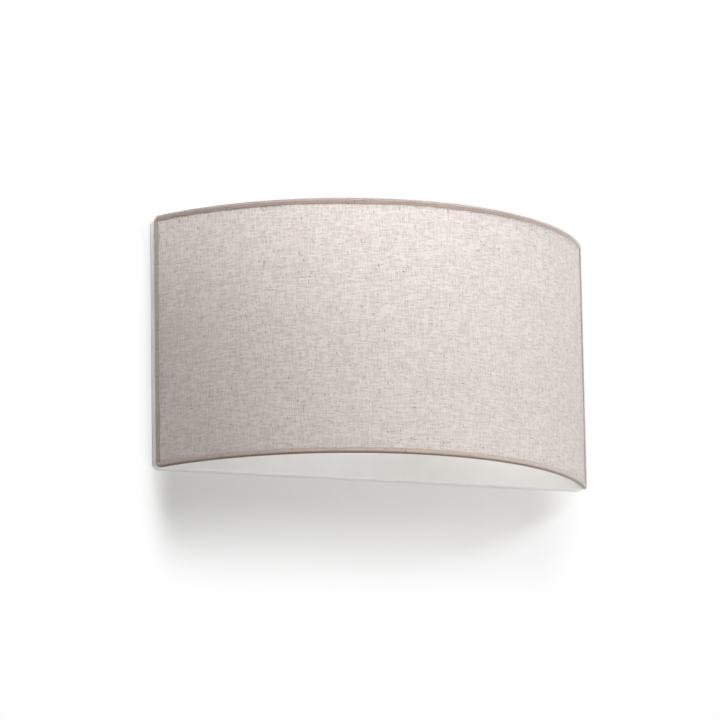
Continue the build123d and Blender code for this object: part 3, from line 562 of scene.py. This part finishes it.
def fold_section(front_only):
    """A hem's outline: a strip rolled round the wire, its two lips pinched to the panel.

    Points are (outward, towards the free edge, distance round the roll), in order round it.
    Beside a lug there is only the front half."""
    lip = HEM_WIDTH - FOLD_RADIUS
    front = [(1.00, -lip), (1.14, -lip + 0.10), (1.24, -lip + 0.4), (1.25, -lip + 0.85),
             (1.29, -lip + 1.2), (1.44, -lip + 1.6), (1.55, -0.65), (1.59, -0.3)]
    back = [(-a, b) for a, b in reversed(front)]
    inner_back = [(-0.74, -lip + 0.05), (-0.76, -1.2), (-0.92, -0.5)]
    inner_front = [(0.95, -0.5), (0.88, -1.2), (0.84, -lip + 0.05)]
    last = 90 if front_only else 180
    outline = front + arc_points(FOLD_RADIUS, range(0, last + 1, ROLL_DEGREES))
    if not front_only:
        outline += back + inner_back
    outline += arc_points(FOLD_CORE, range(last, -1, -CORE_DEGREES)) + inner_front
    section, distance = [], 0.0
    for n, (a, b) in enumerate(outline):
        if n:
            distance += math.hypot(a - outline[n - 1][0], b - outline[n - 1][1])
        section.append((a, b, distance))
    return section


def hem(name, stations, node, has_slit):
    """Sweeps the folded strip along its stations. The slit is a stretch without a back half."""
    points, uvs, faces = [], [], []
    runs = [(stations, False)]
    if has_slit:
        slit = [n for n, s in enumerate(stations) if abs(s[1].z) < LUG_SLIT + SLIT_CLEAR]
        runs = [(stations[:slit[0] + 1], False), (stations[slit[0]:slit[-1] + 1], True),
                (stations[slit[-1]:], False)]
    for run, front_only in runs:
        section = fold_section(front_only)
        count, base = len(section), len(points)
        for distance, place, normal, edge, turn in run:
            bulge = 1 + wave(place, 9.0, 0.035, 1.7) + wave(place, 2.6, 0.03, 5.3)
            lip_wave = wave(place, 11.0, 0.30, 9.9) + wave(place, 2.2, 0.35, 4.2)
            crease = CREASE * turn * math.sin(distance * CREASE_TURN)
            for a, b, around in section:
                lipness = min(1.0, max(0.0, -b / LIP_BLEND))
                out = a * (bulge if b > BULGE_FROM else 1.0)
                out += math.copysign(crease * lipness, a)
                out = max(-FOLD_RADIUS, min(FOLD_RADIUS, out))
                down = min(FOLD_RADIUS, b * (bulge if b > 0 else 1.0)) - lip_wave * lipness
                points.append(tuple(place + normal * out + edge * down))
                uvs.append((distance + HEM_CLOTH[0], around + HEM_CLOTH[1]))
        for n in range(len(run) - 1):
            for m in range(count):
                a, b = base + n * count + m, base + n * count + (m + 1) % count
                faces.append((a, b, b + count, a + count))
        faces.append(tuple(base + m for m in reversed(range(count))))
        last = base + (len(run) - 1) * count
        faces.append(tuple(last + m for m in range(count)))
    piece = mesh_piece(name, points, faces, uvs, finishes["hem_linen"])
    for polygon in piece.data.polygons:
        polygon.use_smooth = len(polygon.vertices) == 4
    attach(piece, "shade")
    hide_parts(node)


stations, cuts = loop_stations()
hems = (("top_rolled_hem", "top_hem", False), ("right_rolled_hem", "right_hem", True),
        ("bottom_rolled_hem", "bottom_hem", False), ("left_rolled_hem", "left_hem", True))
for (name, node, has_slit), first, last in zip(hems, cuts, cuts[1:]):
    hem(name, stations[first:last + 1], node, has_slit)


# ------------------------------------------------------------------ thread of the lamp cap
def cap_thread():
    """The lamp's rolled screw cap: a coarse round thread on a thin shell."""
    start, length, radius, pitch = HOLDER_X + 33.0, 23.0, 13.2, 3.6
    columns, rows = 96, 150
    shoulder, shoulder_fade, rim_fade = 2.4, 2.5, 3.0
    crest, groove, shoulder_drop = 0.05, 0.825, 0.35       # below the cap's radius
    points, uvs, faces = [], [], []
    # (place along the cap, radius), with no radius where the thread gives it
    profile = [(0.05, 7.2), (0.05, 7.7), (1.3, 10.3)]
    profile += [(shoulder + (length - shoulder) * n / rows, None) for n in range(rows + 1)]
    profile += [(length, 12.3)]
    for along, fixed in profile:
        for n in range(columns):
            angle = 2 * math.pi * n / columns
            r = fixed
            if r is None:
                fade = min(1.0, (along - shoulder) / shoulder_fade, (length - along) / rim_fade)
                turn = math.cos(2 * math.pi * (along / pitch - n / columns))
                r = radius - crest - groove * max(0.0, fade) * (1 - turn) / 2
                r -= shoulder_drop * max(0.0, 1 - fade) * (1 if along < length / 2 else 0)
            points.append((start + along, -LAMP_OUT + r * math.cos(angle), r * math.sin(angle)))
            uvs.append((along, radius * angle))
    for row in range(len(profile) - 1):
        for n in range(columns):
            a, b = row * columns + n, row * columns + (n + 1) % columns
            faces.append((a, a + columns, b + columns, b))
    piece = mesh_piece("lamp_cap_thread", points, faces, uvs, finishes["nickel"])
    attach(piece, "lamp")
    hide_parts("lamp_cap")


cap_thread()


# ------------------------------------------------------------------ wall and floor, in metres
FAR, WALL_Y, FLOOR_Z = 4.0, 0.0003, -1.4        # how far both reach, and where they are
HOLE_X, HOLE_Z = 0.168, 0.0905      # half the size of the hole in the wall
WHITE_SHARE = (0.03, 0.98)          # of plain white in the wall's look, in the shadow and away
FLOOR_WHITE_SHARE = 0.5

# Where the wall keeps the light's shadow: the place and the soft edge of each side.
SHADOW_ROOM = {"left": (-0.1565, 0.031), "right": (0.130, 0.050),
               "low": (-0.110, 0.080), "high": (0.094, 0.030)}


def stage_material(name, tint, shadow_room=None):
    """Matt and one-sided: seen from behind it isn't there. To the eye, a wall with a shadow_room
    turns white outside it."""
    g = Graph(name)
    place = g.position()
    grain = g.noise(place, 260.0, 3.0, 0.6)
    face = g.node("BsdfDiffuse", {"Color": colour(*tint), "Roughness": 0.6,
                                  "Normal": g.bump(grain, 0.02 * MM)})
    lift = FLOOR_WHITE_SHARE
    if shadow_room:
        x, _, z = g.split(place)
        past = {}
        for side, way, sign in (("left", x, -1), ("right", x, 1), ("low", z, -1),
                                ("high", z, 1)):
            limit, edge = shadow_room[side]
            past[side] = g.math("MAXIMUM", g.times(g.math("SUBTRACT", way, limit), sign / edge),
                                0.0)
        out = g.vector(g.plus(past["left"], past["right"]), g.plus(past["low"], past["high"]))
        away = g.node("VectorMath", {0: out}, operation="LENGTH").outputs["Value"]
        lift = g.grade(away, 0.0, 1.0, *WHITE_SHARE)
    clear = g.node("BsdfTransparent")
    white = g.node("Emission", {"Color": colour(1.0, 1.0, 1.0), "Strength": 1.0})
    rays = g.node("LightPath").outputs
    looks = g.plus(rays["Is Camera Ray"],
                   g.plus(rays["Is Glossy Ray"], rays["Is Transmission Ray"]))
    looks = g.math("SUBTRACT", looks, rays["Is Diffuse Ray"], clamp=True)
    lit = g.node("MixShader", {0: g.times(looks, lift), 1: face.outputs[0],
                               2: white.outputs[0]})
    behind = g.node("NewGeometry").outputs["Backfacing"]
    both = g.node("MixShader", {0: behind, 1: lit.outputs[0], 2: clear.outputs[0]})
    g.node("OutputMaterial", {0: both.outputs[0]})
    return g.material


def stage_piece(name, corners, faces, material):
    mesh = bpy.data.meshes.new(name)
    mesh.from_pydata(corners, [], faces)
    mesh.materials.append(material)
    mesh.update()
    made_object = bpy.data.objects.new(name, mesh)
    bpy.context.scene.collection.objects.link(made_object)


# The wall has a hole behind the plate, a little smaller than it, so the plate's back is lit.
wall_corners = [(-FAR, WALL_Y, FLOOR_Z), (FAR, WALL_Y, FLOOR_Z), (FAR, WALL_Y, FAR),
                (-FAR, WALL_Y, FAR), (-HOLE_X, WALL_Y, -HOLE_Z), (HOLE_X, WALL_Y, -HOLE_Z),
                (HOLE_X, WALL_Y, HOLE_Z), (-HOLE_X, WALL_Y, HOLE_Z)]
stage_piece("wall", wall_corners, [(0, 1, 5, 4), (1, 2, 6, 5), (2, 3, 7, 6), (3, 0, 4, 7)],
            stage_material("wall_white", (0.90, 0.90, 0.90), SHADOW_ROOM))
stage_piece("floor", [(-FAR, WALL_Y, FLOOR_Z), (-FAR, -FAR, FLOOR_Z), (FAR, -FAR, FLOOR_Z),
                      (FAR, WALL_Y, FLOOR_Z)], [(0, 1, 2, 3)],
            stage_material("floor_white", (0.85, 0.85, 0.84)))


# ------------------------------------------------------------------ light
LIGHT_AIM = Vector((0, -0.06, 0))           # the middle of the wall light
AMBIENT, WHITE = 0.06, 1.0                  # the sky as a light, and as it looks
COOL, WARM = (0.965, 1.0, 1.035), (1.02, 1.0, 0.965)
MILD, PLAIN = (1.01, 1.0, 0.985), (1.0, 1.0, 1.0)

# name, place in metres, width in metres, power in watts, tint
lights = (("key", (0.90, -1.20, 0.90), 0.5, 12.1, COOL),
          ("side", (1.00, -1.50, -0.10), 0.5, 3.2, COOL),
          ("front", (0.50, -1.60, 0.20), 0.5, 1.4, WARM),
          ("low", (0.55, -1.10, -0.75), 0.5, 7.2, WARM),
          ("over", (0.10, -0.20, 0.70), 0.3, 1.8, COOL),
          ("near_left", (-0.18, -0.29, 0.50), 0.3, 3.3, MILD),
          ("behind", (0.50, 1.60, 0.90), 1.0, 26.0, PLAIN))


def soft_light(name, place, size, power, tint):
    data = bpy.data.lights.new(name, "AREA")
    data.shape, data.size, data.energy, data.color = "DISK", size, power, tint
    source = bpy.data.objects.new(name, data)
    source.location = place
    source.rotation_euler = (LIGHT_AIM - Vector(place)).to_track_quat("-Z", "Y").to_euler()
    bpy.context.scene.collection.objects.link(source)


for light in lights:
    soft_light(*light)

world = bpy.data.worlds.new("studio")
bpy.context.scene.world = world
world.use_nodes = True
tree = world.node_tree
tree.nodes.clear()
rays = tree.nodes.new("ShaderNodeLightPath").outputs
looks = rays["Is Camera Ray"]
for step, ray in (("ADD", "Is Glossy Ray"), ("ADD", "Is Transmission Ray"),
                  ("SUBTRACT", "Is Diffuse Ray")):
    total = tree.nodes.new("ShaderNodeMath")
    total.operation, total.use_clamp = step, step == "SUBTRACT"
    tree.links.new(looks, total.inputs[0])
    tree.links.new(rays[ray], total.inputs[1])
    looks = total.outputs[0]
both = tree.nodes.new("ShaderNodeMixShader")
tree.links.new(looks, both.inputs[0])
for place, strength in ((1, AMBIENT), (2, WHITE)):
    sky = tree.nodes.new("ShaderNodeBackground")
    sky.inputs["Color"].default_value = colour(1.0, 1.0, 1.0)
    sky.inputs["Strength"].default_value = strength
    tree.links.new(sky.outputs[0], both.inputs[place])
output = tree.nodes.new("ShaderNodeOutputWorld")
tree.links.new(both.outputs[0], output.inputs[0])

# ------------------------------------------------------------------ camera
# It stands low and to the left, and looks up. It aims beside the wall light's middle by the
# pixels that put the shade where the photograph has it.
TURN, RISE, ROLL = math.radians(20.3), math.radians(12.0), math.radians(0.97)
PHOTO_PIXELS, FOCAL_PIXELS, OFF_X_PIXELS, OFF_Y_PIXELS = 720, 5266.0, 11.65, -5.3
SENSOR_WIDTH = 36.0                         # mm
MIDDLE, AWAY = Vector((0, -0.008, 0)), 4.04
forward = Vector((math.sin(TURN) * math.cos(RISE), math.cos(TURN) * math.cos(RISE),
                  math.sin(RISE)))
right = Vector((math.cos(TURN), -math.sin(TURN), 0))
up = right.cross(forward)
right, up = (right * math.cos(ROLL) - up * math.sin(ROLL),
             right * math.sin(ROLL) + up * math.cos(ROLL))
aim = (forward - right * (OFF_X_PIXELS / FOCAL_PIXELS)
       + up * (OFF_Y_PIXELS / FOCAL_PIXELS)).normalized()
right = (right - aim * right.dot(aim)).normalized()
up = right.cross(aim)
camera = bpy.data.objects.new("camera", bpy.data.cameras.new("camera"))
camera.data.sensor_width = SENSOR_WIDTH
camera.data.lens = FOCAL_PIXELS / PHOTO_PIXELS * SENSOR_WIDTH
camera.data.clip_start, camera.data.clip_end = 0.05, 50.0
turned = Matrix((right, up, -aim)).transposed().to_4x4()
camera.matrix_world = Matrix.Translation(MIDDLE - forward * AWAY) @ turned
bpy.context.scene.collection.objects.link(camera)
bpy.context.scene.camera = camera
bpy.context.scene.view_settings.view_transform = "Standard"
